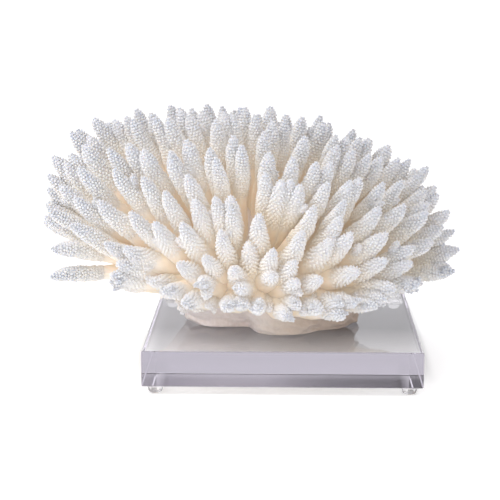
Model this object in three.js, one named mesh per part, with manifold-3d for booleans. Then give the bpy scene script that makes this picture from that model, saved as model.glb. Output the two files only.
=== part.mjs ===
// A bleached branching coral colony on a clear acrylic display plate with four clear bumper feet.
// Units are millimetres, +Z is up and the front faces -Y. The colony grew from one spot on its flat-cut
// base: main limbs leave the base's dome, fork, and end in fingers whose tips lie on one big dome.

import * as THREE from 'three';
import { mergeVertices } from 'three/addons/utils/BufferGeometryUtils.js';
import Module from 'manifold-3d';

const wasm = await Module();
wasm.setup();

// The stand
const PLATE = { width: 200, depth: 200, thickness: 26, arris: 0.6 };
const FOOT = { radius: 6, solePart: 0.55, height: 6, inset: 9.3, sides: 14, rings: 3 };
const GAP = 0.3; // left between pieces that touch, and between a limb and the base it grows from

// The dome that the finger tips reach, about the spot where the colony started to grow
const PLATE_TOP = FOOT.height + GAP + PLATE.thickness;
const HEART = new THREE.Vector3(-24, 0, PLATE_TOP + 28);
const DOME = { halfWidth: 156, halfDepth: 112, height: 134, belowHeart: 90, boxiness: 2.6, skew: 0.07 };

// The base: an encrusting foot that flares on the plate, and a lumpy dome inside the colony
const BASE = {
  footX: 17, footHalfWidth: 62, footHalfDepth: 57, lipHeight: 7, flare: 1.05,
  domeShare: 0.47, domeElevations: [0, 20, 40, 60, 80], sides: 30,
};
// Lobes and notches of the base's outline: azimuth, half width in degrees, and rise as a share of its radius
const LOBES = [
  { azimuth: -34, spread: 20, rise: -0.4 },
  { azimuth: 10, spread: 60, rise: -0.08 },
  { azimuth: 40, spread: 12, rise: -0.09 },
  { azimuth: -100, spread: 22, rise: 0.07 },
  { azimuth: 150, spread: 26, rise: -0.1 },
  { azimuth: -155, spread: 20, rise: 0.05 },
];

// Fingers
const FINGER = { rootRadius: 6.6, neckRadius: 4.8, neckAt: 0.9, sides: 5, straightLength: 34 };
const FORK_SHARE = 0.5; // how far out a limb forks, from the heart to where its fingers straighten
const TIP_PULL = 0.35; // how much the tips' distance counts beside the bends' when fingers choose a limb
// How fingers turn up by their elevation in degrees: the most that they lean up, and how much of their
// way to the front or back is left where they have turned up in full
const UPTURN = { most: 0.5, from: 8, full: 30, depthLeft: 0.42 };

// Tiers of main limbs, from the rim to the crown: elevation and turn in degrees
const TIERS = [
  { name: 'rim_limb', elevation: 5, count: 15, turn: 0 },
  { name: 'low_limb', elevation: 30, count: 13, turn: 14 },
  { name: 'high_limb', elevation: 50, count: 9, turn: 26 },
  { name: 'crown_limb', elevation: 73, count: 5, turn: 36 },
];

// Fingers whose tips can be seen from the front, from the left to the right in each band. Each is
// [azimuth, elevation, reach, lean]: azimuth 0 is the front and 90 the right, reach is a share of the dome,
// and lean, where it isn't the usual one, is how far the finger turns up, or down below 0.
const SEEN_FINGERS = [
  // left shoulder
  [-84, 27, 1.03], [-84, 32, 1.05], [-78, 33], [-78, 36], [-88, 40, 1.06], [-80, 43], [-90, 47, 1.05],
  [-90, 51], [-84, 55], [-70, 56], [-74, 62], [-60, 61], [-52, 63], [-96, 33], [-98, 40, 1.05],
  [-92, 22, 1.02], [-88, 18], [-86, 14],
  // crown
  [-80, 71], [-58, 69], [-46, 69], [-68, 74], [-50, 75], [-20, 70], [-18, 76], [-7, 77], [20, 84, 1.02],
  [26, 78], [80, 80, 1.03], [34, 71], [50, 71], [78, 70],
  // right shoulder
  [85, 64], [62, 57], [67, 55], [80, 53], [85, 51, 1.01], [88, 46, 1.03], [86, 42, 1.01],
  [88, 40, 1.04], [88, 36, 1.08], [85, 36, 1.03], [88, 31, 1.05], [82, 32], [88, 29, 1.04],
  [88, 24, 1.05], [80, 22], [88, 19, 1.04], [88, 14, 1.04], [79, 10],
  // below the crown
  [-57, 43], [-51, 47], [-43, 47], [-31, 48], [-32, 50], [-28, 56], [-15, 55], [-11, 52], [-22, 44],
  [-3, 62], [2, 58], [16, 55], [12, 48], [27, 52], [18, 45], [22, 45], [25, 43], [53, 53], [58, 50],
  [64, 47], [70, 45], [36, 49], [42, 48], [36, 42], [45, 41], [49, 41], [57, 38], [68, 37],
  // middle
  [-49, 38], [-38, 39], [-29, 37], [-18, 37], [-10, 39], [-4, 40], [-4, 37], [7, 35], [28, 36], [39, 36],
  [36, 32], [50, 32], [60, 31], [-39, 28], [-31, 27], [-22, 29], [-8, 29], [2, 27, 0.94], [11, 24],
  [31, 26], [38, 27], [49, 25], [57, 20], [55, 16],
  // rim, with two long drooping fingers on the left
  [-76, 17], [-67, 10, 1, -0.24], [-69, 2, 1, -0.22], [-50, 5, 0.9], [66, 9, 0.9],
  [-46, 17], [-40, 17], [-42, 12], [-44, 8], [-23, 16], [-14, 20], [-4, 17], [18, 20], [10, 15, 1, -0.04],
  [-2, 10], [-16, 11], [18, 13], [26, 14], [38, 16], [47, 18], [48, 10], [56, 10],
  // under the rim
  [45, 7], [42, 5], [36, 6], [32, 6], [32, 2], [25, 4], [18, 5], [14, 1], [4, 3], [-3, 4], [-8, 3],
  [-22, 3], [-28, 6], [-35, 8, 0.92], [-34, 4, 0.86, -0.1], [-30, -2, 0.8, -0.15], [-24, -2, 0.8, -0.15],
  [-17, 1, 0.86, -0.1], [9, 2, 0.86, -0.1], [34, 0, 0.86, -0.15], [55, 8, 0.9],
];

// Where nothing above is near, the sides, back and hollows are filled with fingers on an even spiral.
// In front, up to frontSide degrees to either side, they stand closer and start higher.
const FILL = {
  tries: 620, spacing: 20.8, lowest: 11, unevenness: 0.025,
  frontSide: 84, frontSpacing: 19.5, frontLowest: 18,
};
const GOLDEN_TURN = 137.508;

const ASKEW = new THREE.Vector3(0.3, 0.9, 0.31); // along no finger, so it can set where their sides start

const degrees = THREE.MathUtils.degToRad;
const mix = (a, b, t) => a + (b - a) * t;

// An even, repeatable scatter from -1 to 1 for whole number n and channel c.
function scatter(n, c) {
  const wave = Math.sin(n * 12.9898 + c * 78.233) * 43758.5453;
  return 2 * (wave - Math.floor(wave)) - 1;
}

// Unit direction from the heart for an azimuth and an elevation.
function direction(azimuth, elevation) {
  const flat = Math.cos(degrees(elevation));
  return new THREE.Vector3(
    Math.sin(degrees(azimuth)) * flat,
    -Math.cos(degrees(azimuth)) * flat,
    Math.sin(degrees(elevation)),
  );
}

// Distance from the heart to a boxy ellipsoid along a unit direction.
function domeRadius(d) {
  const up = d.z < 0 ? DOME.belowHeart : DOME.height;
  const sum =
    Math.abs(d.x / DOME.halfWidth) ** DOME.boxiness +
    Math.abs(d.y / DOME.halfDepth) ** DOME.boxiness +
    Math.abs(d.z / up) ** DOME.boxiness;
  return sum ** (-1 / DOME.boxiness);
}

// The colony's left rim stands higher and its crown sits left of the heart.
const skewed = (v) => new THREE.Vector3(v.x - DOME.skew * v.z, v.y, v.z - DOME.skew * v.x);

// A point at a share of the dome, from the heart.
const onDome = (d, share) => skewed(d).multiplyScalar(share * domeRadius(d)).add(HEART);

const turnedUp = (elevation) => THREE.MathUtils.smoothstep(elevation, UPTURN.from, UPTURN.full);

// The way a finger points at its tip: outwards, turned up by its lean, and kept from the front and back.
function pointing(d, elevation, lean = UPTURN.most * turnedUp(elevation)) {
  const way = skewed(d).add(new THREE.Vector3(0, 0, lean));
  way.y *= mix(1, UPTURN.depthLeft, turnedUp(elevation));
  return way.normalize();
}

// Where a finger's tip is, and where it leaves the bend from its limb.
function finger([azimuth, elevation, reach = 1, lean]) {
  const d = direction(azimuth, elevation);
  const tip = onDome(d, reach);
  const straight = FINGER.straightLength * domeRadius(d) / DOME.height;
  const bend = tip.clone().addScaledVector(pointing(d, elevation, lean), -straight);
  return { d, tip, bend };
}

function fillingFingers(seen) {
  const tips = seen.map((row) => finger(row).tip);
  const all = [];
  for (let i = 0; i < FILL.tries; i++) {
    const rise = mix(Math.sin(degrees(FILL.lowest)), 1, (i + 0.5) / FILL.tries);
    const elevation = THREE.MathUtils.radToDeg(Math.asin(rise));
    const azimuth = ((i * GOLDEN_TURN) % 360) - 180;
    const row = [azimuth, elevation, 1 + FILL.unevenness * scatter(i, 1)];
    const { tip } = finger(row);
    const inFront = Math.abs(azimuth) < FILL.frontSide;
    if (inFront && elevation < FILL.frontLowest) continue;
    const spacing = inFront ? FILL.frontSpacing : FILL.spacing;
    if (tips.every((other) => other.distanceTo(tip) > spacing)) {
      tips.push(tip);
      all.push(row);
    }
  }
  return all;
}

// Every main limb with the fingers that are nearest to it, by their bends and a little by their tips.
function plannedLimbs() {
  const limbs = [];
  for (const tier of TIERS) {
    for (let i = 0; i < tier.count; i++) {
      const azimuth = tier.turn + (360 * i) / tier.count;
      const name = `${tier.name}_${String(i + 1).padStart(2, '0')}`;
      limbs.push({ name, ...finger([azimuth, tier.elevation]), fingers: [] });
    }
  }
  for (const row of [...SEEN_FINGERS, ...fillingFingers(SEEN_FINGERS)]) {
    const one = finger(row);
    const far = (limb) => limb.bend.distanceTo(one.bend) + TIP_PULL * limb.tip.distanceTo(one.tip);
    const nearest = limbs.reduce((a, b) => (far(a) < far(b) ? a : b));
    nearest.fingers.push(one);
  }
  return limbs.filter((limb) => limb.fingers.length);
}

// A closed solid from rings of points: each ring has the same number of points, the first is capped flat,
// and the last is capped flat or drawn to a point.
function ringSolid(rings, point = null) {
  const sides = rings[0].length;
  const last = (rings.length - 1) * sides;
  const faces = [];
  for (let k = 0; k < last; k += sides) {
    for (let i = 0; i < sides; i++) {
      const a = k + i;
      const b = k + ((i + 1) % sides);
      faces.push(a, b, b + sides, a, b + sides, a + sides);
    }
  }
  const points = rings.flat();
  if (point) points.push(point);
  for (let i = 1; i + 1 < sides; i++) {
    faces.push(0, i + 1, i);
    if (!point) faces.push(last, last + i, last + i + 1);
  }
  for (let i = 0; i < sides && point; i++) {
    faces.push(last + i, last + ((i + 1) % sides), points.length - 1);
  }
  const geometry = new THREE.BufferGeometry().setFromPoints(points);
  geometry.setIndex(faces);
  return geometry;
}

// A finger is a round tube along a bent path, thick at the fork and drawn in to a blunt tip.
function fingerGeometry(fork, { bend, tip }) {
  const path = new THREE.QuadraticBezierCurve3(fork, bend, tip);
  const stations = [[0, FINGER.rootRadius], [FINGER.neckAt, FINGER.neckRadius]];
  const side = new THREE.Vector3().crossVectors(path.getTangent(0.5), ASKEW).normalize();
  const rings = stations.map(([t, radius]) => {
    const tangent = path.getTangent(t);
    const across = new THREE.Vector3().crossVectors(tangent, side).normalize();
    const over = new THREE.Vector3().crossVectors(across, tangent).normalize();
    const middle = path.getPoint(t);
    return Array.from({ length: FINGER.sides }, (_, i) => {
      const angle = (2 * Math.PI * i) / FINGER.sides;
      return middle.clone()
        .addScaledVector(over, radius * Math.cos(angle))
        .addScaledVector(across, radius * Math.sin(angle));
    });
  });
  return ringSolid(rings, tip);
}

// How far the base's outline stands out at an azimuth, as a share of an ellipse.
function outline(azimuth) {
  return LOBES.reduce((sum, lobe) => {
    const away = THREE.MathUtils.euclideanModulo(azimuth - lobe.azimuth + 180, 360) - 180;
    return sum + lobe.rise * Math.exp(-((away / lobe.spread) ** 2));
  }, 1);
}

// The base rises from its flat cut over a rounded lip, and draws in to the dome that the limbs leave.
// It is grown outwards by a gap to cut the limbs' roots clear of it.
function baseGeometry(grown) {
  const floor = PLATE_TOP + GAP - grown;
  const ringAt = (place) => Array.from({ length: BASE.sides }, (_, i) => place((360 * i) / BASE.sides));
  const footRing = (share, height) => ringAt((azimuth) => {
    const flat = direction(azimuth, 0);
    const x = HEART.x + BASE.footX + flat.x * (BASE.footHalfWidth * share * outline(azimuth) + grown);
    return new THREE.Vector3(x, flat.y * (BASE.footHalfDepth * share * outline(azimuth) + grown), height);
  });
  const domeRing = (elevation) => ringAt((azimuth) => {
    const d = direction(azimuth, elevation);
    return onDome(d, BASE.domeShare).addScaledVector(d, grown);
  });
  return ringSolid([
    footRing(1, floor),
    footRing(BASE.flare, PLATE_TOP + BASE.lipHeight),
    ...BASE.domeElevations.map(domeRing),
  ]);
}

function toSolid(geometry) {
  const plain = new THREE.BufferGeometry().setAttribute('position', geometry.getAttribute('position'));
  plain.setIndex(geometry.getIndex());
  const merged = mergeVertices(plain, 1e-4);
  return new wasm.Manifold(new wasm.Mesh({
    numProp: 3,
    vertProperties: merged.getAttribute('position').array,
    triVerts: new Uint32Array(merged.getIndex().array),
  }));
}

function toGeometry(solid) {
  const { vertProperties, triVerts } = solid.getMesh();
  const geometry = new THREE.BufferGeometry();
  geometry.setAttribute('position', new THREE.BufferAttribute(vertProperties, 3));
  geometry.setIndex(new THREE.BufferAttribute(triVerts, 1));
  geometry.computeVertexNormals();
  return geometry;
}

// A limb is its fingers joined where they meet, less the base that they grow from.
function limbSolid(limb, cutter) {
  const fork = HEART.clone().lerp(limb.bend, FORK_SHARE);
  const tubes = limb.fingers.map((one) => toSolid(fingerGeometry(fork, one)));
  return tubes.reduce((sum, tube) => sum.add(tube)).subtract(cutter);
}

function plateGeometry() {
  const { width, depth, thickness, arris } = PLATE;
  const square = new THREE.Shape();
  square.moveTo(-width / 2 + arris, -depth / 2 + arris);
  square.lineTo(width / 2 - arris, -depth / 2 + arris);
  square.lineTo(width / 2 - arris, depth / 2 - arris);
  square.lineTo(-width / 2 + arris, depth / 2 - arris);
  square.closePath();
  return new THREE.ExtrudeGeometry(square, {
    depth: thickness - 2 * arris,
    bevelEnabled: true,
    bevelSize: arris,
    bevelThickness: arris,
    bevelSegments: 1,
  }).translate(0, 0, arris);
}

// A bumper foot is a flattened half ball with a flat sole and a flat top.
function footGeometry() {
  const sole = FOOT.radius * FOOT.solePart;
  const profile = [new THREE.Vector2(0, 0), new THREE.Vector2(sole, 0)];
  for (let i = 1; i <= FOOT.rings; i++) {
    const angle = (Math.PI / 2) * (i / FOOT.rings);
    profile.push(new THREE.Vector2(
      mix(sole, FOOT.radius, Math.sin(angle)),
      FOOT.height * (1 - Math.cos(angle)),
    ));
  }
  profile.push(new THREE.Vector2(0, FOOT.height));
  return new THREE.LatheGeometry(profile, FOOT.sides).rotateX(Math.PI / 2);
}

// Coral skeleton: chalky, almost white on the fingers and cream on the base, with no shine.
const coralWhite = new THREE.MeshStandardMaterial({ color: 0xe9e6e2, roughness: 0.9 });
const coralCream = new THREE.MeshStandardMaterial({ color: 0xdccdbb, roughness: 0.85 });

// Cast acrylic: polished and clear, with a faint lavender grey in the thickness of it.
const acrylic = new THREE.MeshStandardMaterial({ color: 0xd2d0da, roughness: 0.05 });
acrylic.transparent = true;
acrylic.opacity = 0.5;

// Clear soft rubber: a little cloudy.
const clearRubber = new THREE.MeshStandardMaterial({ color: 0xdad6d6, roughness: 0.3 });
clearRubber.transparent = true;
clearRubber.opacity = 0.6;

const model = new THREE.Group();

function addPiece(name, geometry, material, parent = model) {
  const piece = new THREE.Mesh(geometry, material);
  piece.name = name;
  parent.add(piece);
  return piece;
}

addPiece('display_plate', plateGeometry(), acrylic).position.z = FOOT.height + GAP;

for (const [row, sideY] of [['front', -1], ['back', 1]]) {
  for (const [end, sideX] of [['left', -1], ['right', 1]]) {
    const foot = addPiece(`foot_${row}_${end}`, footGeometry(), clearRubber);
    foot.position.x = sideX * (PLATE.width / 2 - FOOT.inset);
    foot.position.y = sideY * (PLATE.depth / 2 - FOOT.inset);
  }
}

addPiece('coral_base', toGeometry(toSolid(baseGeometry(0))), coralCream);

const cutter = toSolid(baseGeometry(GAP));
for (const limb of plannedLimbs()) {
  addPiece(limb.name, toGeometry(limbSolid(limb, cutter)), coralWhite);
}

// The origin is where the object stands, under the middle of its whole width and depth.
const middle = new THREE.Box3().setFromObject(model).getCenter(new THREE.Vector3());
model.position.set(-middle.x, -middle.y, 0);

export default model;
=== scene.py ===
# %% [markdown]
# A colony of branching coral stands on a clear acrylic plate with four clear bumper feet. The
# colony is bleached skeleton: thick limbs leave a smooth base that was sawn flat, fork, and end
# in a couple of hundred blunt fingers. Every finger is covered with small cups, one for each
# animal that lived there, and the cups all point towards the finger's tip.
#
# The plate and its feet come from the solid model as they are. The base and each limb are made
# here again with their real surface, in the place of the plain solids.

import math

import bpy
import numpy as np
from mathutils import Matrix, Vector


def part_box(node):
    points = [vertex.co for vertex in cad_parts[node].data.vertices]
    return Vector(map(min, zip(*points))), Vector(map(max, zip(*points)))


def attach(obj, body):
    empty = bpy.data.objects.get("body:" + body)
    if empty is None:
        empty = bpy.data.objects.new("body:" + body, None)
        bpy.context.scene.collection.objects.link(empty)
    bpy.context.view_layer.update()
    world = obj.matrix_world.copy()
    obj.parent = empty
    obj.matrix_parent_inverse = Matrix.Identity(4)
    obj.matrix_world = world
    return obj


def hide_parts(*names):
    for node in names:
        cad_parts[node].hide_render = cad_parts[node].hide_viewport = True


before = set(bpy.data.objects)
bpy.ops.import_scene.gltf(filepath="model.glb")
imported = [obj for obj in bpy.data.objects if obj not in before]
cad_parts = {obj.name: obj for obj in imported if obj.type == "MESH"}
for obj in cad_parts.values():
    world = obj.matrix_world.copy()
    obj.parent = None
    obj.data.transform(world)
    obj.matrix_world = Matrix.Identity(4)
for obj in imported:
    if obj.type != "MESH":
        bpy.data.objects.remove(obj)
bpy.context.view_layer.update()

# %% [markdown]
# All sizes below are in millimetres, as a maker would measure them, and are turned into metres
# when a mesh is made. The plate is the datum: the colony's heart, the spot that it grew from, is
# measured from the middle of the plate's top.

# %% Datum and sizes
MM = 0.001
plate_low, plate_high = (np.array(corner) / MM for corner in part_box("display_plate"))
plate_middle = (plate_low + plate_high) / 2
plate_top = plate_high[2]
heart = np.array([plate_middle[0] - 24, plate_middle[1], plate_top + 28])
GAP = 0.3

DOME = dict(half_width=156, half_depth=112, height=134, below_heart=90, boxiness=2.6, skew=0.07)
STRAIGHT_LENGTH = 34
FORK_SHARE = 0.5
UPTURN = dict(most=0.5, start=8, full=30, depth_left=0.42)
print("plate top, mm:", round(float(plate_top), 2), "heart, mm:", heart.round(1))

# %% [markdown]
# The tips of the fingers lie on one big dome about the heart, as if the colony had been clipped
# to a cushion shape: currents and light stop every branch at about the same height. The dome is
# a boxy ellipsoid. A direction from the heart is given as an azimuth, 0 at the front and 90 on
# the right, and an elevation.

# %% The dome
def direction(azimuth, elevation):
    """Unit vectors: east is the sine of the azimuth, front its negative cosine, both shortened
    by the cosine of the elevation, and up is the sine of the elevation."""
    a, e = np.broadcast_arrays(np.radians(azimuth), np.radians(elevation))
    return np.stack([np.sin(a) * np.cos(e), -np.cos(a) * np.cos(e), np.sin(e)], -1)


def dome_radius(d):
    """Distance to the dome: one over the root of the sum of |component / half size| to the power
    of the boxiness, and the root is of the same power."""
    up = np.where(d[..., 2] < 0, DOME["below_heart"], DOME["height"])
    p = DOME["boxiness"]
    total = (
        np.abs(d[..., 0] / DOME["half_width"]) ** p
        + np.abs(d[..., 1] / DOME["half_depth"]) ** p
        + np.abs(d[..., 2] / up) ** p
    )
    return total ** (-1 / p)


def skewed(v):
    """The left rim stands higher and the crown sits left of the heart: x loses a little of z,
    and z loses a little of x."""
    x, y, z = np.moveaxis(np.asarray(v, float), -1, 0)
    return np.stack([x - DOME["skew"] * z, y, z - DOME["skew"] * x], -1)


def on_dome(d, share):
    """A point at a share of the way from the heart to the dome."""
    return heart + skewed(d) * (share * dome_radius(d))[..., None]


def unit(v):
    """Vectors cut to length one."""
    return v / np.linalg.norm(v, axis=-1, keepdims=True)


ways = dict(right=direction(90, 0), front=direction(0, 0), top=direction(0, 90))
print("dome, mm:", {way: round(float(dome_radius(d)), 1) for way, d in ways.items()})

# %% [markdown]
# The fingers that can be seen from the front are placed one by one, as [azimuth, elevation,
# reach, lean]. Reach is a share of the dome. Lean says how far a finger turns up, and it is
# only given where a finger differs from its neighbours.

# %% Fingers seen from the front
SEEN_FINGERS = [
    # left shoulder
    [-84, 27, 1.03], [-84, 32, 1.05], [-78, 33], [-78, 36], [-88, 40, 1.06], [-80, 43],
    [-90, 47, 1.05], [-90, 51], [-84, 55], [-70, 56], [-74, 62], [-60, 61], [-52, 63], [-96, 33],
    [-98, 40, 1.05], [-92, 22, 1.02], [-88, 18], [-86, 14],
    # crown
    [-80, 71], [-58, 69], [-46, 69], [-68, 74], [-50, 75], [-20, 70], [-18, 76], [-7, 77],
    [20, 84, 1.02], [26, 78], [80, 80, 1.03], [34, 71], [50, 71], [78, 70],
    # right shoulder
    [85, 64], [62, 57], [67, 55], [80, 53], [85, 51, 1.01], [88, 46, 1.03], [86, 42, 1.01],
    [88, 40, 1.04], [88, 36, 1.08], [85, 36, 1.03], [88, 31, 1.05], [82, 32], [88, 29, 1.04],
    [88, 24, 1.05], [80, 22], [88, 19, 1.04], [88, 14, 1.04], [79, 10],
    # below the crown
    [-57, 43], [-51, 47], [-43, 47], [-31, 48], [-32, 50], [-28, 56], [-15, 55], [-11, 52],
    [-22, 44], [-3, 62], [2, 58], [16, 55], [12, 48], [27, 52], [18, 45], [22, 45], [25, 43],
    [53, 53], [58, 50],
    [64, 47], [70, 45], [36, 49], [42, 48], [36, 42], [45, 41], [49, 41], [57, 38], [68, 37],
    # middle
    [-49, 38], [-38, 39], [-29, 37], [-18, 37], [-10, 39], [-4, 40], [-4, 37], [7, 35], [28, 36],
    [39, 36], [36, 32], [50, 32], [60, 31], [-39, 28], [-31, 27], [-22, 29], [-8, 29],
    [2, 27, 0.94], [11, 24],
    [31, 26], [38, 27], [49, 25], [57, 20], [55, 16],
    # rim, with two long drooping fingers on the left
    [-76, 17], [-67, 10, 1, -0.24], [-69, 2, 1, -0.22], [-50, 5, 0.9], [66, 9, 0.9], [-46, 17],
    [-40, 17], [-42, 12], [-44, 8], [-23, 16], [-14, 20], [-4, 17], [18, 20], [10, 15, 1, -0.04],
    [-2, 10], [-16, 11], [18, 13],
    [26, 14], [38, 16], [47, 18], [48, 10], [56, 10],
    # under the rim
    [45, 7], [42, 5], [36, 6], [32, 6], [32, 2], [25, 4], [18, 5], [14, 1], [4, 3], [-3, 4],
    [-8, 3],
    [-22, 3], [-28, 6], [-35, 8, 0.92], [-34, 4, 0.86, -0.1], [-30, -2, 0.8, -0.15],
    [-24, -2, 0.8, -0.15], [-17, 1, 0.86, -0.1], [9, 2, 0.86, -0.1], [34, 0, 0.86, -0.15],
    [55, 8, 0.9],
]
print("fingers placed by hand:", len(SEEN_FINGERS))

# %% [markdown]
# The sides, the back and the hollows are filled by rule. Points on a spiral turned by the golden
# angle cover the dome evenly, as seeds do on a sunflower, and a point is kept where no finger is
# near it yet.

# %% Fingers filled in by rule
FILL = dict(
    tries=620, spacing=20.8, lowest=11, unevenness=0.025,
    front_side=84, front_spacing=19.5, front_lowest=18,
)
GOLDEN_TURN = 137.508


def scatter(n, channel):
    """An even, repeatable scatter from -1 to 1: the fractional part of a big sine."""
    wave = np.sin(n * 12.9898 + channel * 78.233) * 43758.5453
    return 2 * (wave - np.floor(wave)) - 1


def finger_row(azimuth, elevation, reach=1, lean=None):
    """Direction, tip and bend of one finger. The bend lies a straight length behind the tip,
    against the way that the tip points: outwards, turned up by the lean, and kept from the front
    and back."""
    d = direction(azimuth, elevation)
    x = min(max((elevation - UPTURN["start"]) / (UPTURN["full"] - UPTURN["start"]), 0), 1)
    turned_up = x * x * (3 - 2 * x)
    lean = UPTURN["most"] * turned_up if lean is None else lean
    tip = on_dome(d, np.float64(reach))
    depth_left = 1 + (UPTURN["depth_left"] - 1) * turned_up
    pointing = unit((skewed(d) + [0, 0, lean]) * [1, depth_left, 1])
    bend = tip - pointing * STRAIGHT_LENGTH * dome_radius(d) / DOME["height"]
    return dict(d=d, tip=tip, bend=bend, elevation=elevation, lean=lean)


def filling_fingers(seen):
    """Rows for the golden-angle spiral points that are far enough from every finger so far."""
    tips = [finger_row(*row)["tip"] for row in seen]
    rows = []
    for i in range(FILL["tries"]):
        low = math.sin(math.radians(FILL["lowest"]))
        elevation = math.degrees(math.asin(low + (1 - low) * (i + 0.5) / FILL["tries"]))
        azimuth = (i * GOLDEN_TURN) % 360 - 180
        row = [azimuth, elevation, 1 + FILL["unevenness"] * scatter(i, 1)]
        tip = finger_row(*row)["tip"]
        in_front = abs(azimuth) < FILL["front_side"]
        if in_front and elevation < FILL["front_lowest"]:
            continue
        spacing = FILL["front_spacing"] if in_front else FILL["spacing"]
        if np.min(np.linalg.norm(np.array(tips) - tip, axis=1)) > spacing:
            tips.append(tip)
            rows.append(row)
    return rows


filled_fingers = filling_fingers(SEEN_FINGERS)
print("fingers filled in:", len(filled_fingers))

# %% [markdown]
# The colony forks into main limbs in four tiers, from the rim to the crown, and each tier is spread
# evenly round the heart. Each finger belongs to the limb that is nearest by its bend, and a little
# by its tip. The solid model shares the fingers out in the same way, so that each limb here takes
# the place of the node with its name. A tier is [name, elevation, how many, azimuth of the first].

# %% Limbs
TIP_PULL = 0.35
TIERS = [
    ("rim_limb", 5, 15, 0),
    ("low_limb", 30, 13, 14),
    ("high_limb", 50, 9, 26),
    ("crown_limb", 73, 5, 36),
]

limbs = []
for tier_name, elevation, count, turn in TIERS:
    for i in range(count):
        limb = finger_row(turn + 360 * i / count, elevation)
        limbs.append(dict(name=f"{tier_name}_{i + 1:02d}", fingers=[], **limb))
limb_bends = np.array([limb["bend"] for limb in limbs])
limb_tips = np.array([limb["tip"] for limb in limbs])
for row in SEEN_FINGERS + filled_fingers:
    one = finger_row(*row)
    from_bend = np.linalg.norm(limb_bends - one["bend"], axis=1)
    from_tip = np.linalg.norm(limb_tips - one["tip"], axis=1)
    limbs[int(np.argmin(from_bend + TIP_PULL * from_tip))]["fingers"].append(one)
limbs = [limb for limb in limbs if limb["fingers"]]
print("limbs:", len(limbs), "fingers:", sum(len(limb["fingers"]) for limb in limbs))
missing = {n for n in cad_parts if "_limb_" in n} ^ {limb["name"] for limb in limbs}
print("limbs that differ from the solid model's nodes:", sorted(missing))

# %% [markdown]
# A finger is a profile carried along a path. The path is a quadratic curve from the fork, past
# the bend, to the tip: a branch leaves its limb sideways and then turns up to the light. All the
# fingers of a limb are worked out together as one array, and every measure along a finger is a
# distance from its tip, because that is where it grows.

# %% Paths
def curve_points(fork, bend, tip, t):
    """Points and unit tangents of quadratic curves: (1-t)^2 fork + 2t(1-t) bend + t^2 tip.
    fork, bend and tip are (n, 3) and t is (n, k)."""
    t = t[..., None]
    fork, bend, tip = fork[:, None], bend[:, None], tip[:, None]
    point = (1 - t) ** 2 * fork + 2 * t * (1 - t) * bend + t**2 * tip
    tangent = 2 * (1 - t) * (bend - fork) + 2 * t * (tip - bend)
    return point, unit(tangent)


def arc_table(fork, bend, tip, steps=64):
    """Distance from the tip at evenly spaced t, summed along the curve from the tip back."""
    t = np.broadcast_to(np.linspace(0, 1, steps), (len(fork), steps))
    point, _ = curve_points(fork, bend, tip, t)
    step = np.linalg.norm(np.diff(point, axis=1), axis=2)
    from_tip = np.cumsum(step[:, ::-1], axis=1)[:, ::-1]
    return t, np.concatenate([from_tip, np.zeros((len(fork), 1))], axis=1)


def t_at(t, from_tip, wanted):
    """The curve parameter at wanted distances from the tip, read off the arc table."""
    return np.stack([
        np.interp(-w, -f, row) for w, f, row in zip(wanted, from_tip, t)
    ])


# %% [markdown]
# Round the path go rings of points, whose radius is a bullet's: a round tip that swells over the
# first two or three centimetres, and then grows slowly towards the fork. Low down in the front and
# the back the shafts grow faster from start on, for a length, until they merge: fully at the
# elevation low, not at all at high, and less from near to far of the middle.

# %% Profiles
BODY_RADIUS, TAPER_LENGTH, BLUNTNESS = 4.85, 23.0, 0.46
ROOT_SWELL = 0.07  # how much the radius grows for each millimetre beyond the taper
MERGE = dict(start=13, growth=0.26, length=22, low=14, high=42, near=60, far=140, cupless=0.5)
RINGS, BUD_RINGS, SIDES = 18, 11, 9
RING_CROWDING = 1.8
WOBBLE = dict(size=0.7, wave=7.0, quiet=20.0)


def body_radius(from_tip, stout=1.0, taper=TAPER_LENGTH, merged=0.0):
    """A bullet: the body radius times the sine, to the power of the bluntness, of a quarter turn
    that ends at the taper's length, plus a slow swell beyond it, plus a quick one where the
    finger is merged with its neighbours."""
    x = np.clip(from_tip / taper, 0.0001, 1)
    grown = BODY_RADIUS * np.sin(x * math.pi / 2) ** BLUNTNESS
    swell = ROOT_SWELL * np.clip(from_tip - taper, 0, None)
    web = MERGE["growth"] * np.clip(from_tip - MERGE["start"], 0, MERGE["length"])
    return (grown + swell + web * merged) * stout


def wander(from_tip, seed):
    """How far a finger strays to one side of its path: a slow sine that is still at the tip."""
    start = np.minimum(from_tip / WOBBLE["quiet"], 1)
    return np.sin(from_tip / WOBBLE["wave"] + seed) * start * WOBBLE["size"]


def side_frame(tangent):
    """Two unit vectors across each tangent, set out from one askew direction."""
    askew = np.array([0.3, 0.9, 0.31])
    across = unit(np.cross(tangent, askew))
    over = np.cross(across, tangent)
    return across, over


def finger_radius(from_tip, traits):
    """The radius of each finger at distances from its tip, by its own traits."""
    return body_radius(from_tip, *(traits[key][:, None] for key in ("stout", "taper", "merged")))


def finger_bodies(path, traits, rings):
    """Grid of points (n, rings, SIDES, 3) and distances from the tip (n, rings). path is the
    fork, bend and tip of every finger, and traits has a stoutness, a taper's length, a seed and
    a share of merging for each. Rings crowd towards the tip, where the first one closes on a
    small round end."""
    t, table = arc_table(*path)
    from_tip = table[:, :1] * np.linspace(0, 1, rings) ** RING_CROWDING
    point, tangent = curve_points(*path, t_at(t, table, from_tip))
    across, over = side_frame(tangent)
    radius = finger_radius(from_tip, traits)
    point = point + across * wander(from_tip, traits["seed"][:, None])[..., None]
    angle = np.linspace(0, 2 * math.pi, SIDES, endpoint=False)
    ring = np.cos(angle)[:, None] * across[:, :, None] + np.sin(angle)[:, None] * over[:, :, None]
    return point[:, :, None] + ring * radius[:, :, None, None], from_tip, dict(t=t, table=table)


print("radius 3, 12 and 40 mm from the tip:", body_radius(np.array([3, 12, 40])).round(2))

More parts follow.
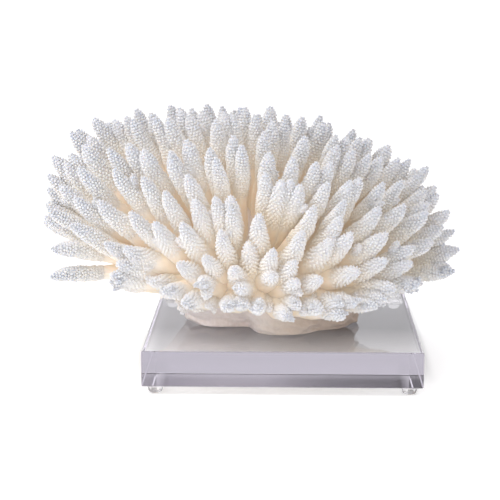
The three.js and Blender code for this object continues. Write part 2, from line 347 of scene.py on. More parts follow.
# %% [markdown]
# The cups are what the eye reads as the coral's texture. They stand in rings round the finger,
# each ring turned by half a cup from the one before. Their feet touch and their rims are clear of
# one another, so that the teeth read one by one as they do on the real fingers. Where they stand
# is worked out once, for a standard finger, and every finger uses as much of it as it is long.

# %% Where the cups stand
CUP = dict(
    pitch=2.6, step=2.1, first=0.9, reach=40.0, uneven=0.25, twist=0.08,
    sides=4, foot=1.38, long_foot=1.1, sunk=0.35, rim=0.76, narrow_rim=0.8, height=1.4,
    forward=0.8, tilt=0.4, pit=0.95,
    youngest=0.62, grown_at=9.0, variety=0.16, fade_from=26.0, faded=0.6, ending=6.0,
)


def cup_places(longest):
    """Distances from the tip and angles of the cups on a standard finger. Rings are a step apart,
    and a ring has as many cups as its girth / pitch, but four at least."""
    places, angles = [], []
    for i, place in enumerate(np.arange(CUP["first"], longest, CUP["step"])):
        girth = 2 * math.pi * (body_radius(place) + 0.5)
        count = max(4, round(float(girth) / CUP["pitch"]))
        places.append(np.full(count, place))
        angles.append(2 * math.pi * (np.arange(count) + i % 2 / 2) / count)
    return np.concatenate(places), np.concatenate(angles)


CUP_PLACES, CUP_ANGLES = cup_places(CUP["reach"])
print("cups on a full finger:", len(CUP_PLACES))

# %% [markdown]
# A real cup is a little tube that leans towards the tip of its finger, with a longer lower lip, so
# a finger's outline looks like a saw. Each cup here is twelve triangles: a foot sunk in the
# finger, a tilted rim, and a pit. That is little enough for tens of thousands of them. The
# youngest cups, at the tip, are the smallest.

# %% Cups
TIP_TURN, TIP_REACH = 1.1, 3.0  # cups near the tip turn forward with it, so that the tip is round
FOOT_SHADE, BODY_SHADE = 0.35, 0.45  # between a pit, 0, and a rim, 1


def finger_cups(path, traits, arc, covered):
    """Points (n, 2 sides + 1, 3) of cups: the foot, the rim and one in the pit, with a shade and
    a distance from the tip for each point. covered is how far from its tip each finger is open
    to the water, and its trait coarse is how big its cups are."""
    count, k = len(path[0]), len(CUP_PLACES)
    seed = traits["seed"][:, None]
    from_tip = np.broadcast_to(CUP_PLACES, (count, k))
    jitter = scatter(np.arange(k)[None] + 37 * np.arange(count)[:, None] + seed, 5)
    from_tip = np.clip(from_tip + CUP["uneven"] * jitter, 0.7, None)
    point, tangent = curve_points(*path, t_at(arc["t"], arc["table"], from_tip))
    across, over = side_frame(tangent)
    angle = CUP_ANGLES + seed + CUP["twist"] * np.roll(jitter, 1, axis=1)
    out = np.cos(angle)[..., None] * across + np.sin(angle)[..., None] * over
    radius = finger_radius(from_tip, traits)
    base = point + across * wander(from_tip, seed)[..., None] + out * radius[..., None]

    grown = CUP["youngest"] + (1 - CUP["youngest"]) * np.clip(from_tip / CUP["grown_at"], 0, 1)
    size = grown * (0.95 + CUP["variety"] * np.roll(jitter, 2, axis=1)) * traits["coarse"][:, None]
    fading = np.clip((from_tip - CUP["fade_from"]) / (CUP["reach"] - CUP["fade_from"]), 0, 1)
    ending = np.clip((covered[:, None] - from_tip) / CUP["ending"], 0.4, 1)
    tall = size * (1 - CUP["faded"] * fading) * ending
    keep = ((from_tip < covered[:, None]) & (from_tip < arc["table"][:, :1])).reshape(-1)
    forward = TIP_TURN * np.exp(-from_tip / TIP_REACH)[..., None]
    leaning, along = unit(out + forward * tangent), unit(tangent - forward * out)

    def kept(v):
        return v.reshape(count * k, *v.shape[2:])[keep]

    base, o, r, f = (kept(v)[:, None] for v in (base, leaning, np.cross(tangent, out), along))
    size, tall, depth = kept(size)[:, None, None], kept(tall)[:, None, None], kept(from_tip)
    turn = np.linspace(0, 2 * math.pi, CUP["sides"], endpoint=False) + math.pi
    c, s = np.cos(turn)[None, :, None], np.sin(turn)[None, :, None]
    foot = base + size * CUP["foot"] * (c * CUP["long_foot"] * f + s * r) - CUP["sunk"] * o
    lift = base + tall * (CUP["forward"] * f + CUP["height"] * o)
    rim = lift + size * CUP["rim"] * (c * (CUP["narrow_rim"] * f - CUP["tilt"] * o) + s * r)
    pit = base + tall * (0.5 * f + CUP["pit"] * o)
    points = np.concatenate([foot, rim, pit], axis=1)
    shade = np.repeat([FOOT_SHADE, 1.0, 0.0], [CUP["sides"], CUP["sides"], 1])
    depths = np.repeat(depth[:, None], points.shape[1], 1)
    return points, np.broadcast_to(shade, points.shape[:2]), depths


def cup_faces(first, count):
    """Triangles of count cups: walls from the foot to the rim, and a fan from the rim down into
    the pit."""
    n = CUP["sides"]
    i = np.arange(n)
    j = (i + 1) % n
    walls = np.concatenate([np.stack([i, j, j + n], 1), np.stack([i, j + n, i + n], 1)])
    fan = np.stack([i + n, j + n, np.full(n, 2 * n)], 1)
    one = np.concatenate([walls, fan])
    return (first + (2 * n + 1) * np.arange(count)[:, None, None] + one).reshape(-1, 3)


# %% [markdown]
# One helper turns arrays into a mesh, with numbers stored at every vertex for the material to
# read: how far the spot is from its finger's tip, how deep it lies in a cup, and how crowded its
# surroundings are.

# %% Mesh helper
def make_piece(name, points, triangles, attributes):
    """A smooth-shaded mesh object from points in millimetres and triangles, with its faces
    turned to point outwards as given."""
    mesh = bpy.data.meshes.new(name)
    points = np.asarray(points, np.float32) * np.float32(MM)
    triangles = np.asarray(triangles, np.int32)
    mesh.vertices.add(len(points))
    mesh.vertices.foreach_set("co", points.reshape(-1))
    mesh.loops.add(triangles.size)
    mesh.loops.foreach_set("vertex_index", triangles.reshape(-1))
    mesh.polygons.add(len(triangles))
    mesh.polygons.foreach_set("loop_start", np.arange(0, triangles.size, 3, dtype=np.int32))
    mesh.polygons.foreach_set("use_smooth", np.ones(len(triangles), bool))
    for key, values in attributes.items():
        layer = mesh.attributes.new(key, "FLOAT", "POINT")
        layer.data.foreach_set("value", np.asarray(values, np.float32).reshape(-1))
    mesh.update(calc_edges=True)
    mesh.validate()
    piece = bpy.data.objects.new(name, mesh)
    bpy.context.scene.collection.objects.link(piece)
    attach(piece, "root")
    return piece


def tube_faces(first, tubes, rings, sides):
    """Triangles of closed tubes stored ring after ring, with the far ring and the near ring
    closed by fans. Ring 0 is at the tip."""
    r, s = np.meshgrid(np.arange(rings - 1), np.arange(sides), indexing="ij")
    a = r * sides + s
    b = r * sides + (s + 1) % sides
    wall = np.concatenate([
        np.stack([a, a + sides, b + sides], -1).reshape(-1, 3),
        np.stack([a, b + sides, b], -1).reshape(-1, 3),
    ])
    k = np.arange(1, sides - 1)
    tip = np.stack([np.zeros_like(k), k, k + 1], 1)
    root = (rings - 1) * sides + np.stack([np.zeros_like(k), k + 1, k], 1)
    one = np.concatenate([wall, tip, root])
    return (first + rings * sides * np.arange(tubes)[:, None, None] + one).reshape(-1, 3)


# %% [markdown]
# Light that reaches the hollows between the fingers has passed through many thin branches, so it
# is warm. Where that happens is worked out here: the volume of all the fingers is spread over a
# coarse grid of cells and blurred, which gives how crowded the surroundings of any spot are.

# %% Crowding
CELL, MARGIN, BLUR = 4.0, 30.0, 5


def paths(limb):
    """Fork, bend and tip of every finger of a limb. The fork is a share of the way from the heart
    to the limb's own bend."""
    tips = np.array([one["tip"] for one in limb["fingers"]])
    bends = np.array([one["bend"] for one in limb["fingers"]])
    forks = np.repeat((heart + (limb["bend"] - heart) * FORK_SHARE)[None], len(tips), 0)
    return forks, bends, tips


def finger_volumes():
    """Points along every finger, and the volume that each stands for: pi radius^2 times step."""
    path = [np.concatenate(ends) for ends in zip(*(paths(limb) for limb in limbs))]
    t, table = arc_table(*path)
    point, _ = curve_points(*path, t)
    step = np.diff(table[:, ::-1], axis=1, prepend=0)[:, ::-1]
    return point.reshape(-1, 3), (math.pi * body_radius(table) ** 2 * step).reshape(-1)


def blurred(grid, axis):
    """A moving mean of 2 BLUR + 1 cells along one axis."""
    width = 2 * BLUR + 1
    total = np.cumsum(np.concatenate([np.zeros_like(grid.take([0], axis)), grid], axis), axis)
    total = np.concatenate([total] + [total.take([-1], axis)] * BLUR, axis)
    total = np.concatenate([np.zeros_like(grid.take([0], axis))] * BLUR + [total], axis)
    size = grid.shape[axis]
    return (total.take(range(width, width + size), axis) - total.take(range(size), axis)) / width


volume_points, volume_weights = finger_volumes()
grid_low = volume_points.min(0) - MARGIN
grid_size = np.ceil((volume_points.max(0) + MARGIN - grid_low) / CELL).astype(int)
cells = ((volume_points - grid_low) / CELL).astype(int)
density = np.zeros(grid_size)
np.add.at(density, tuple(cells.T), volume_weights / CELL**3)
for axis in (0, 1, 2, 0, 1, 2):
    density = blurred(density, axis)
print("coral in a cell's space, crossings counted twice, most:", round(float(density.max()), 2))


def crowding(points):
    """How much coral fills the surroundings, from 0 where there is none, read off the grid
    between the middles of its cells."""
    place = np.clip((points - grid_low) / CELL - 0.5, 0, grid_size - 1.001)
    corner = place.astype(int)
    part = place - corner
    total = 0
    for dx, dy, dz in np.ndindex(2, 2, 2):
        x, y, z = (corner + [dx, dy, dz]).clip(0, grid_size - 1).T
        weight = np.abs(1 - np.array([dx, dy, dz]) - part).prod(1)
        total = total + weight * density[x, y, z]
    return total


# %% [markdown]
# No two fingers are alike. Each gets its own stoutness, taper and size of cups from one repeatable
# stream of random numbers. Low down in the middle of the front and the back, neighbours grew
# together as they thickened.

# %% How fingers differ
LOW, DROOPING = 12, -0.2  # below this elevation a finger is low, and from this lean on it droops
rng = np.random.default_rng(7253)


def merging(tips, elevation):
    """How much each finger has grown together with its neighbours, from 0 to 1: most for the low
    ones in the middle of the front and the back, and none for high ones and the far sides."""
    low = np.clip((MERGE["high"] - elevation) / (MERGE["high"] - MERGE["low"]), 0, 1)
    middle = np.clip((MERGE["far"] - np.abs(tips[:, 0])) / (MERGE["far"] - MERGE["near"]), 0, 1)
    return low * middle


def random_traits(count, elevation, merged):
    """How stout, how long in the taper and how coarse each finger is. Low ones are a little
    thinner with coarser cups."""
    return dict(
        stout=rng.uniform(0.9, 1.12, count) * np.where(elevation < LOW, 0.9, 1.0),
        taper=TAPER_LENGTH * rng.uniform(0.7, 1.3, count),
        seed=rng.uniform(0, 2 * math.pi, count),
        coarse=np.where(elevation < LOW, 1.25, 1.0),
        merged=merged,
    )


# %% [markdown]
# Some fingers carry a side bud, a short finger of their own that left half way up. The lowest
# fingers, which had the most room, are ragged: each ends in up to two more small lobes. The long
# drooping ones are plain. A bud is a short path with traits of its own, so the functions that make
# a finger make it too.

# %% Side buds and ragged ends
BUD = dict(start=(17, 34), length=(9, 15), stout=(0.72, 0.86), chance=0.38, middle=3.8)
RAGGED = dict(start=(6, 13), length=(6.5, 9.5), stout=(0.62, 0.76), chance=0.9, middle=2.6)


def side_buds(kind, path, arc, traits, may_have):
    """Paths and traits of short buds on some of the fingers. A bud leaves its finger at start
    from the tip and turns out to one side by about forty degrees."""
    chosen = np.flatnonzero((rng.random(len(may_have)) < kind["chance"]) & may_have)
    start = rng.uniform(*kind["start"], len(chosen))
    t = np.zeros((0, 1))
    if len(chosen):
        t = t_at(arc["t"][chosen], arc["table"][chosen], start[:, None])
    point, tangent = curve_points(*(end[chosen] for end in path), t)
    point, tangent = point[:, 0], tangent[:, 0]
    across, over = side_frame(tangent)
    angle = rng.uniform(0, 2 * math.pi, len(chosen))[:, None]
    out = np.cos(angle) * across + np.sin(angle) * over
    length = rng.uniform(*kind["length"], len(chosen))[:, None]
    middle = point + out * kind["middle"] + tangent * kind["middle"] / 2
    end = point + out * (length * 0.6 + kind["middle"] / 2) + tangent * length * 0.85
    bud_traits = dict(
        stout=traits["stout"][chosen] * rng.uniform(*kind["stout"], len(chosen)),
        taper=traits["taper"][chosen] * 0.6,
        seed=rng.uniform(0, 2 * math.pi, len(chosen)),
        coarse=traits["coarse"][chosen] * 0.9,
        merged=np.zeros(len(chosen)),
    )
    return (point, middle, end), bud_traits


# %% [markdown]
# Now the limbs. All the fingers of a limb start at its fork, thick, and cross one another there,
# as the branches of the real colony do where they grew together. A limb is one mesh of its
# fingers, their buds and all their cups. Merged shafts carry cups on their outer half only, and
# there are none deep inside the base.

# %% Build the limbs
BASE_SHARE = 0.47  # the share of the dome that the base fills, under the limbs
BURIED_CUPS = dict(in_base=2.0, in_finger=3.0)  # how far cups go down past the skin, or stay off it
BUD_DEPTH = 6.0  # added to a bud's distance from the tip, so that it isn't as white as a finger's


def tubes_with_cups(path, traits, covered, rings, first, depth):
    """Points, triangles and vertex values of a group of fingers or buds with their cups. first
    is the number of their first point, and depth is added to their distance from the tip."""
    grid, from_tip, arc = finger_bodies(path, traits, rings)
    cups, shade, cup_depth = finger_cups(path, traits, arc, covered)
    body_count = grid[..., 0].size
    points = np.concatenate([grid.reshape(-1, 3), cups.reshape(-1, 3)])
    faces = np.concatenate([
        tube_faces(first, len(grid), rings, SIDES),
        cup_faces(first + body_count, len(cups)),
    ])
    shades = np.concatenate([np.full(body_count, BODY_SHADE), shade.reshape(-1)])
    depths = np.concatenate([np.repeat(from_tip.reshape(-1), SIDES), cup_depth.reshape(-1)]) + depth
    return (points, faces, shades, depths), arc


def build_limb(limb):
    """One mesh for a limb: its fingers, their side buds and ragged ends, and the cups of all."""
    path = paths(limb)
    tips = path[2]
    elevation = np.array([one["elevation"] for one in limb["fingers"]])
    branching = np.array([one["lean"] > DROOPING for one in limb["fingers"]])
    ragged = branching & (elevation < LOW)
    traits = random_traits(len(tips), elevation, merging(tips, elevation) * branching)
    outwards = tips - heart
    open_length = np.linalg.norm(outwards, axis=1) - dome_radius(unit(outwards)) * BASE_SHARE
    reach = CUP["reach"] * (1 - MERGE["cupless"] * traits["merged"])
    covered = np.minimum(open_length + BURIED_CUPS["in_base"], reach)
    made, arc = tubes_with_cups(path, traits, covered, RINGS, 0, 0.0)
    parts = [made]
    for kind, may_have in ((BUD, branching), (RAGGED, ragged), (RAGGED, ragged)):
        buds, bud_traits = side_buds(kind, path, arc, traits, may_have)
        if len(buds[0]):
            covered = np.linalg.norm(buds[2] - buds[0], axis=1) - BURIED_CUPS["in_finger"]
            first = sum(len(part[0]) for part in parts)
            parts.append(tubes_with_cups(buds, bud_traits, covered, BUD_RINGS, first, BUD_DEPTH)[0])
    points, faces, shades, depths = (np.concatenate(values) for values in zip(*parts))
    piece = make_piece(
        "coral_" + limb["name"], points, faces,
        dict(from_tip=depths, cup=shades, crowding=crowding(points)),
    )
    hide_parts(limb["name"])
    return piece, len(faces)


limb_pieces, triangle_counts = zip(*(build_limb(limb) for limb in limbs))
print("limb triangles:", sum(triangle_counts), "most in one limb:", max(triangle_counts))

# %% [markdown]
# The base is what the colony grew over: smooth, because living tissue spread over it without
# branching. It was sawn flat underneath. Its outline is worked out as a distance from the middle
# for every azimuth and height: a lobed foot, a lip that overhangs, and then a dome inside the
# colony that the limbs leave. A lobe is [azimuth, spread, rise].

# %% The base's skin
BASE = dict(foot_x=17, half_width=62, half_depth=57, lip=7, flare=1.05)
LOBES = [
    (-34, 20, -0.4), (10, 60, -0.08), (40, 12, -0.09),
    (-100, 22, 0.07), (150, 26, -0.1), (-155, 20, 0.05),
]
DOME_TOP = 84  # the elevation where the base's dome is closed


def lobes(azimuth):
    """One, plus for each lobe its rise times exp(-(degrees away / spread) squared)."""
    away = [((azimuth - place + 180) % 360 - 180) / spread for place, spread, _ in LOBES]
    return 1 + sum(rise * np.exp(-(a**2)) for a, (_, _, rise) in zip(away, LOBES))


def base_surface(azimuth, level):
    """The base's skin for azimuth and level, where level runs from 0 at the cut, through 1 at the
    lip and 2 where the dome starts, to 3 at the top of the dome."""
    flat = direction(azimuth, 0)
    lump = lobes(azimuth)
    foot_middle = heart * [1, 1, 0] + [BASE["foot_x"], 0, plate_top + GAP]

    def foot(share, height):
        half = [BASE["half_width"] * share * lump, BASE["half_depth"] * share * lump, 0 * lump]
        lift = np.array([0, 0, 1.0]) * (height - GAP)[..., None]
        return foot_middle + flat * np.stack(half, -1) + lift

    rise = np.clip(level, 0, 1)
    round_ = np.sin(rise * math.pi / 2)
    lower = foot(1 + (BASE["flare"] - 1) * round_, GAP + (BASE["lip"] - GAP) * rise)
    lip = foot(BASE["flare"] + 0 * rise, BASE["lip"] + 0 * rise)
    inner = BASE_SHARE + 0 * azimuth
    start = on_dome(direction(azimuth, 0 * azimuth), inner)
    between = np.clip(level - 1, 0, 1)[..., None]
    middle = lip * (1 - between) + start * between
    upper = on_dome(direction(azimuth, DOME_TOP * np.clip(level - 2, 0, 1)), inner)
    return np.where(level[..., None] <= 1, lower, np.where(level[..., None] <= 2, middle, upper))


widths = lobes(np.arange(360))
print("base, share of its half width at the lobes:", widths.min().round(2), widths.max().round(2))

# %% [markdown]
# The skin is laid out as a grid of azimuth and level, and pushed in and out by slow and fine
# waves, because living tissue never leaves a true surface. The waves fade to nothing at the cut,
# so that the sawn face is flat. A fan of triangles closes the cut, and another the top. A lump is
# [height, waves round the base, waves up it].

# %% Build the base
LUMPS = [(1.0, 11, -4), (0.5, 23, 7)]
FLAT_TO = 0.25  # the level at which the waves have their full height
BASE_ROUND, BASE_RINGS = 180, 72

azimuth, level = np.meshgrid(
    np.linspace(0, 360, BASE_ROUND, endpoint=False), np.linspace(0, 3, BASE_RINGS), indexing="xy"
)
skin = base_surface(azimuth, level)
a = np.radians(azimuth)
# one slow lump that comes and goes up the base, and the finer ones over it
swell = 1.6 * np.sin(5 * a + 3 * level) * np.sin(2.3 * level + 1)
swell += sum(height * np.sin(round_base * a + up * level) for height, round_base, up in LUMPS)
swell *= np.clip(level / FLAT_TO, 0, 1)
lump_middle = heart - [0, 0, 12]
skin = skin + unit(skin - lump_middle) * swell[..., None]
points = skin.reshape(-1, 3)
ring = np.arange(BASE_RINGS - 1)[:, None] * BASE_ROUND
step = np.arange(BASE_ROUND)[None]
next_step = (step + 1) % BASE_ROUND
next_ring = ring + BASE_ROUND
quads = [ring + step, ring + next_step, next_ring + next_step, next_ring + step]
quads = np.stack(quads, -1).reshape(-1, 4)
faces = np.concatenate([quads[:, [0, 1, 2]], quads[:, [0, 2, 3]]])
bottom, top = len(points), len(points) + 1
points = np.concatenate([points, skin[0].mean(0)[None], skin[-1].mean(0)[None] + [0, 0, 0.5]])
around = np.arange(BASE_ROUND)
after = (around + 1) % BASE_ROUND
last = (BASE_RINGS - 1) * BASE_ROUND
faces = np.concatenate([
    faces,
    np.stack([after, around, np.full(BASE_ROUND, bottom)], 1),
    np.stack([last + around, last + after, np.full(BASE_ROUND, top)], 1),
])
base_piece = make_piece(
    "coral_encrusting_base", points, faces, dict(crowding=crowding(points))
)
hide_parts("coral_base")
print("base triangles:", len(faces))

# %% [markdown]
# A material in Blender is a graph of nodes. Each helper here adds one node and returns what comes
# out of it, so that a finish below reads as a recipe: take a measure of the shape, map it to a
# range, turn it into a colour, and multiply the layers.

# %% Helpers for finishes
def set_inputs(node, values):
    """Constants on a node's sockets, by their names."""
    for key, value in values.items():
        node.inputs[key].default_value = value


def start_material(name):
    """A material with one principled shader, ready to be wired."""
    material = bpy.data.materials.new(name)
    material.use_nodes = True
    tree = material.node_tree
    tree.nodes.clear()
    output = tree.nodes.new("ShaderNodeOutputMaterial")
    shader = tree.nodes.new("ShaderNodeBsdfPrincipled")
    tree.links.new(shader.outputs["BSDF"], output.inputs["Surface"])
    return material, tree, shader, output


def ramp(tree, stops, source):
    """A colour ramp on a value, from (place, colour) stops."""
    made = tree.nodes.new("ShaderNodeValToRGB")
    elements = made.color_ramp.elements
    while len(elements) < len(stops):
        elements.new(0.5)
    for element, (place, colour) in zip(elements, stops):
        element.position = place
        element.color = (*colour, 1)
    tree.links.new(source, made.inputs["Fac"])
    return made.outputs["Color"]


def read_attribute(tree, name):
    """The value of a vertex attribute."""
    made = tree.nodes.new("ShaderNodeAttribute")
    made.attribute_name = name
    return made.outputs["Fac"]


def rescale(tree, value, low, high, to_low=0.0, to_high=1.0):
    """A value mapped from one range to another, clamped."""
    made = tree.nodes.new("ShaderNodeMapRange")
    set_inputs(made, {"From Min": low, "From Max": high, "To Min": to_low, "To Max": to_high})
    tree.links.new(value, made.inputs["Value"])
    return made.outputs["Result"]


def multiply(tree, a, b):
    """One value times another."""
    made = tree.nodes.new("ShaderNodeMath")
    made.operation = "MULTIPLY"
    tree.links.new(a, made.inputs[0])
    tree.links.new(b, made.inputs[1])
    return made.outputs[0]


def multiply_colour(tree, a, b):
    """Colour a times colour b."""
    made = tree.nodes.new("ShaderNodeMix")
    made.data_type = "RGBA"
    made.blend_type = "MULTIPLY"
    made.inputs["Factor"].default_value = 1.0
    tree.links.new(a, made.inputs["A"])
    tree.links.new(b, made.inputs["B"])
    return made.outputs["Result"]


def grain(tree, scale, detail=4.0):
    """Noise on object coordinates, in features per metre."""
    coordinates = tree.nodes.new("ShaderNodeTexCoord")
    made = tree.nodes.new("ShaderNodeTexNoise")
    set_inputs(made, {"Scale": scale, "Detail": detail})
    tree.links.new(coordinates.outputs["Object"], made.inputs["Vector"])
    return made.outputs["Fac"]


def to_the_right(tree):
    """How far to the right a spot is, in metres."""
    place = tree.nodes.new("ShaderNodeSeparateXYZ")
    tree.links.new(tree.nodes.new("ShaderNodeTexCoord").outputs["Object"], place.inputs[0])
    return place.outputs["X"]


# %% [markdown]
# Two things are alike on the fingers and the base. Where fingers crowd together, the light has
# passed through so much cream that the hollows glow faintly, and a weak emission stands for that.
# A bump stands for the grain that is too fine for the mesh.

# %% What both skeleton finishes share
def warm_glow(tree, shader, colour, low, high, most):
    """Light that comes through from inside, in a colour. It rises with the crowding, and gets a
    little weaker towards the right."""
    shader.inputs["Emission Color"].default_value = (*colour, 1)
    glow = rescale(tree, read_attribute(tree, "crowding"), low, high, 0, most)
    lit_side = rescale(tree, to_the_right(tree), 0.0, 0.1, 1.0, 0.7)
    tree.links.new(multiply(tree, glow, lit_side), shader.inputs["Emission Strength"])


def skeleton_surface(tree, shader, constants, height, strength, distance):
    """The constants of a skeleton's shader, and a bump from a height that stands for the grain."""
    set_inputs(shader, {"Subsurface Scale": 1.0, **constants})
    bump = tree.nodes.new("ShaderNodeBump")
    set_inputs(bump, {"Strength": strength, "Distance": distance})
    tree.links.new(height, bump.inputs["Height"])
    tree.links.new(bump.outputs["Normal"], shader.inputs["Normal"])


# %% [markdown]
# Coral skeleton is chalk white and lets a little light through. The tips look cool and white, and
# the shafts are cream. The colour follows the distance from each finger's tip. Painted shade makes
# the pits of the cups a little darker, the crowded hollows warmer and darker, and the shafts darker
# and browner towards the right and deep down, the side away from the key light. A fine grain
# breaks it up.

# %% Coral skeleton finish
def coral_finish():
    """Chalky skeleton, coloured by the distance from the tip, with painted shade in the crowded
    hollows, the pits and towards the right.
    """
    material, tree, shader, _ = start_material("coral_skeleton")
    along = rescale(tree, read_attribute(tree, "from_tip"), 0, 60)
    colour = ramp(tree, [
        (0.0, (0.715, 0.71, 0.745)),
        (0.2, (0.75, 0.735, 0.745)),
        (0.45, (0.81, 0.775, 0.74)),
        (1.0, (0.84, 0.78, 0.70)),
    ], along)
    # painted warm shade: the crowded hollows between the fingers are warmer and darker
    inside = ramp(tree, [
        (0.0, (1, 1, 1)),
        (0.45, (1, 0.985, 0.96)),
        (0.75, (1, 0.945, 0.88)),
        (1.0, (0.97, 0.88, 0.75)),
    ], rescale(tree, read_attribute(tree, "crowding"), 0.0, 0.45))
    # painted shade: the pits of the cups are a little darker than the rims
    painted_pit_shade = ramp(tree, [(0.0, (0.97, 0.955, 0.94)), (0.6, (1, 1, 1))], read_attribute(tree, "cup"))
    fine = ramp(tree, [(0.3, (0.96, 0.955, 0.945)), (0.7, (1, 1, 1))], grain(tree, 260))
    # painted shade: the shafts grow darker and browner towards the right and deep down, on the side
    # away from the key light
    painted_shade_by_side = rescale(tree, to_the_right(tree), -0.04, 0.12)
    deep = rescale(tree, read_attribute(tree, "from_tip"), 10, 50)
    painted_shade_amount = multiply(tree, painted_shade_by_side, deep)
    painted_side_shade = ramp(tree, [(0.0, (1, 1, 1)), (1.0, (0.74, 0.66, 0.53))], painted_shade_amount)
    for layer in (inside, multiply_colour(tree, painted_pit_shade, fine), painted_side_shade):
        colour = multiply_colour(tree, colour, layer)
    tree.links.new(colour, shader.inputs["Base Color"])
    warm_glow(tree, shader, (1.0, 0.93, 0.84), 0.04, 0.26, 0.11)
    constants = {
        "Roughness": 0.85,
        "Specular IOR Level": 0.25,
        "Subsurface Weight": 0.65,
        "Subsurface Radius": (0.006, 0.0048, 0.0035),
    }
    skeleton_surface(tree, shader, constants, grain(tree, 1600, 3.0), 0.3, 0.0005)
    return material


coral = coral_finish()
for piece in limb_pieces:
    piece.data.materials.append(coral)
print("pieces with the coral finish:", len(limb_pieces))

# %% [markdown]
# The base is denser and smoother than the fingers, a warm beige with paler and browner clouds where
# it was washed and weathered. A painted shade makes it paler on the left and darker and browner
# towards the right.

# %% Base finish
def base_finish():
    """Smooth beige skeleton with slow clouds, and a painted shade that makes it darker and browner
    towards the right.
    """
    material, tree, shader, _ = start_material("coral_base_skin")
    clouds = ramp(tree, [
        (0.3, (0.82, 0.73, 0.66)),
        (0.5, (0.89, 0.82, 0.77)),
        (0.7, (0.93, 0.88, 0.84)),
    ], grain(tree, 22, 5.0))
    fine = ramp(tree, [(0.35, (0.92, 0.90, 0.88)), (0.65, (1, 1, 1))], grain(tree, 420))
    # painted shade: paler on the left, darker and browner towards the right, the side away from the
    # key light
    painted_base_shade = ramp(tree, [
        (0.0, (0.93, 0.93, 0.97)),
        (0.33, (0.88, 0.86, 0.87)),
        (0.5, (0.70, 0.65, 0.60)),
        (1.0, (0.46, 0.39, 0.34)),
    ], rescale(tree, to_the_right(tree), -0.03, 0.065))
    colour = multiply_colour(tree, multiply_colour(tree, clouds, fine), painted_base_shade)
    tree.links.new(colour, shader.inputs["Base Color"])
    warm_glow(tree, shader, (1.0, 0.92, 0.86), 0.0, 0.25, 0.08)
    constants = {
        "Roughness": 0.6,
        "Specular IOR Level": 0.35,
        "Subsurface Weight": 0.2,
        "Subsurface Radius": (0.004, 0.003, 0.002),
    }
    skeleton_surface(tree, shader, constants, grain(tree, 300, 5.0), 0.4, 0.001)
    return material


base_piece.data.materials.append(base_finish())
print("piece with the base finish:", base_piece.name)

# %% [markdown]
# The plate is cast acrylic: polished on every face, an index of refraction of 1.49, and a faint
# lavender grey that only shows where light has travelled a long way inside, as it has behind the
# front edge. Absorption in a volume gives just that. The feet are a softer, slightly cloudy clear
# rubber.

# %% Acrylic and rubber finishes
def clear_finish(name, ior, roughness_low, roughness_high, absorbed, density):
    """Clear material: full transmission, a breath of uneven polish, and absorption inside."""
    material, tree, shader, output = start_material(name)
    set_inputs(shader, {"Transmission Weight": 1.0, "IOR": ior, "Base Color": (1, 1, 1, 1)})
    polish = rescale(tree, grain(tree, 60), 0.35, 0.75, roughness_low, roughness_high)
    tree.links.new(polish, shader.inputs["Roughness"])
    volume = tree.nodes.new("ShaderNodeVolumeAbsorption")
    set_inputs(volume, {"Color": (*absorbed, 1), "Density": density})
    tree.links.new(volume.outputs["Volume"], output.inputs["Volume"])
    return material


acrylic = clear_finish("clear_acrylic", 1.49, 0.0, 0.003, (0.70, 0.67, 0.735), 9.0)
rubber = clear_finish("clear_rubber", 1.45, 0.08, 0.2, (0.72, 0.70, 0.71), 60.0)
for name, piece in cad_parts.items():
    if name == "display_plate" or name.startswith("foot_"):
        piece.data.materials.clear()
        piece.data.materials.append(acrylic if name == "display_plate" else rubber)
        print("clear finish:", name, "is", piece.data.materials[0].name)

# %% [markdown]
# The set is a plain white floor, which glows a little so that it stays white right across the
# picture. Under the plate and just behind it the floor carries a painted shade, darker towards the
# right, and does not glow there. Clear acrylic shows what stands behind it, so the grey bands in
# the plate's front are made here, by the painted shade in the floor, and not in the plate.

# %% Floor
scene = bpy.context.scene
floor_mesh = bpy.data.meshes.new("floor")
HALF = 60.0
corners = [(-HALF, -HALF, 0), (HALF, -HALF, 0), (HALF, HALF, 0), (-HALF, HALF, 0)]
floor_mesh.from_pydata(corners, [], [(0, 1, 2, 3)])
floor = bpy.data.objects.new("floor", floor_mesh)
scene.collection.objects.link(floor)
floor_material, floor_tree, floor_shader, _ = start_material("white_floor")
floor_place = floor_tree.nodes.new("ShaderNodeTexCoord")
floor_sides = floor_tree.nodes.new("ShaderNodeSeparateXYZ")
floor_tree.links.new(floor_place.outputs["Object"], floor_sides.inputs[0])

# How much painted shade a spot of the floor gets: one under the plate and just behind it, and none
# elsewhere.
PAINTED_SHADE = dict(soft=0.015, from_plate_front=(0.035, 0.12), back=(0.26, 0.20))
FLOOR_GLOW = 0.37
painted_shade_front = [plate_low[1] * MM + inwards for inwards in PAINTED_SHADE["from_plate_front"]]
painted_shade_left, painted_shade_right = plate_low[0] * MM, plate_high[0] * MM
east, north = floor_sides.outputs["X"], floor_sides.outputs["Y"]
painted_shade = multiply(
    floor_tree,
    multiply(
        floor_tree,
        rescale(floor_tree, east, painted_shade_left - PAINTED_SHADE["soft"], painted_shade_left),
        rescale(floor_tree, east, painted_shade_right + PAINTED_SHADE["soft"], painted_shade_right),
    ),
    multiply(
        floor_tree,
        rescale(floor_tree, north, *painted_shade_front),
        rescale(floor_tree, north, *PAINTED_SHADE["back"]),
    ),
)
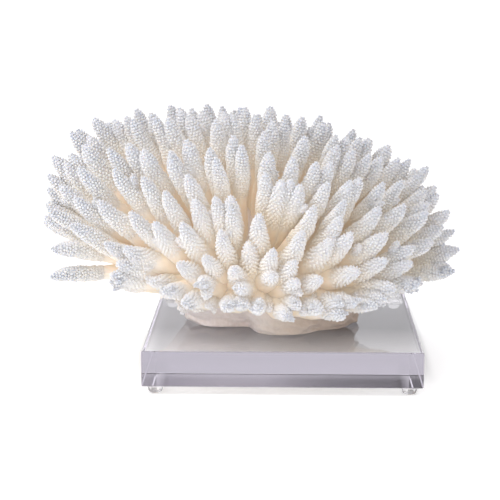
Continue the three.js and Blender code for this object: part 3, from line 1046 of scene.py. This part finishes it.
# painted shade on the floor: grey under and behind the plate, darkest towards the right, where the
# colony's shadow would fall
painted_shade_colour = ramp(floor_tree, [
    (0.0, (0.44, 0.43, 0.45)),
    (0.24, (0.59, 0.58, 0.59)),
    (0.42, (0.60, 0.59, 0.60)),
    (0.56, (0.42, 0.41, 0.42)),
    (0.7, (0.27, 0.265, 0.27)),
    (1.0, (0.16, 0.155, 0.16)),
], rescale(floor_tree, east, painted_shade_left, painted_shade_right))
floor_colour = floor_tree.nodes.new("ShaderNodeMix")
floor_colour.data_type = "RGBA"
floor_tree.links.new(painted_shade, floor_colour.inputs["Factor"])
floor_colour.inputs["A"].default_value = (0.9, 0.9, 0.9, 1)
floor_tree.links.new(painted_shade_colour, floor_colour.inputs["B"])
floor_tree.links.new(floor_colour.outputs["Result"], floor_shader.inputs["Base Color"])
set_inputs(floor_shader, {"Roughness": 0.9, "Emission Color": (1, 1, 1, 1)})
lit = rescale(floor_tree, painted_shade, 0, 1, FLOOR_GLOW, 0.0)
floor_tree.links.new(lit, floor_shader.inputs["Emission Strength"])
floor_mesh.materials.append(floor_material)
print("sheltered floor, m:", round(painted_shade_left, 3), "to", round(painted_shade_right, 3))

# %% [markdown]
# The light is soft, as in a tent of white cloth: a big soft box above the front left, a weak one
# low in front, and a bright even surround. A hard lamp would draw a black edge beside every cup.

# %% Light
world = bpy.data.worlds.new("surround")
scene.world = world
world.use_nodes = True
set_inputs(world.node_tree.nodes["Background"], {"Color": (0.98, 0.975, 1.0, 1), "Strength": 0.88})


def soft_box(name, place, target, size, power):
    """A square area light at place that faces target."""
    data = bpy.data.lights.new(name, "AREA")
    data.shape = "SQUARE"
    data.size = size
    data.energy = power
    lamp = bpy.data.objects.new(name, data)
    lamp.location = place
    lamp.rotation_euler = (Vector(target) - Vector(place)).to_track_quat("-Z", "Y").to_euler()
    scene.collection.objects.link(lamp)
    return lamp


lamps = [
    soft_box("key_light", (-1.1, -0.8, 1.4), (0, 0, 0.1), 1.0, 15),
    soft_box("fill_light", (0.1, -1.8, 0.36), (0, 0, 0.08), 1.2, 7.5),
]
print("lamps, W:", {lamp.name: lamp.data.energy for lamp in lamps})

# %% [markdown]
# The camera stands a little above the plate, with a long lens. Its place is measured in
# millimetres from the middle of the plate's top. It was worked out from the photograph: with the
# plate's width known, the perspective of its top and front gives distance, height and tilt. The
# standard view shows the finishes' colours as they are.

# %% Camera
scene.view_settings.view_transform = "Standard"
scene.view_settings.look = "None"
CAMERA = dict(place=(2.0, -1208.9, 287.9), pitch=10.95, yaw=-1.29, roll=0.08, focal=1620.0)
IMAGE_WIDTH, SENSOR = 500, 36.0
camera_data = bpy.data.cameras.new("camera")
camera_data.sensor_width = SENSOR
camera_data.lens = CAMERA["focal"] / IMAGE_WIDTH * SENSOR
camera_data.clip_end = 200
camera = bpy.data.objects.new("camera", camera_data)
scene.collection.objects.link(camera)
plate_datum = np.array([plate_middle[0], plate_middle[1], plate_top])
pitch, yaw, roll = (math.radians(CAMERA[key]) for key in ("pitch", "yaw", "roll"))
level_way = Vector((math.sin(yaw), math.cos(yaw), 0))
forward = level_way * math.cos(pitch) - Vector((0, 0, math.sin(pitch)))
right = forward.cross(Vector((0, 0, 1))).normalized()
above = right.cross(forward)
level_frame = Matrix((right, above, -forward)).transposed()
camera.matrix_world = Matrix.Translation(Vector((plate_datum + CAMERA["place"]) * MM)) @ (
    level_frame @ Matrix.Rotation(roll, 3, "Z")
).to_4x4()
scene.camera = camera
print("lens, mm:", round(camera_data.lens, 1), "place, m:", [round(x, 3) for x in camera.location])
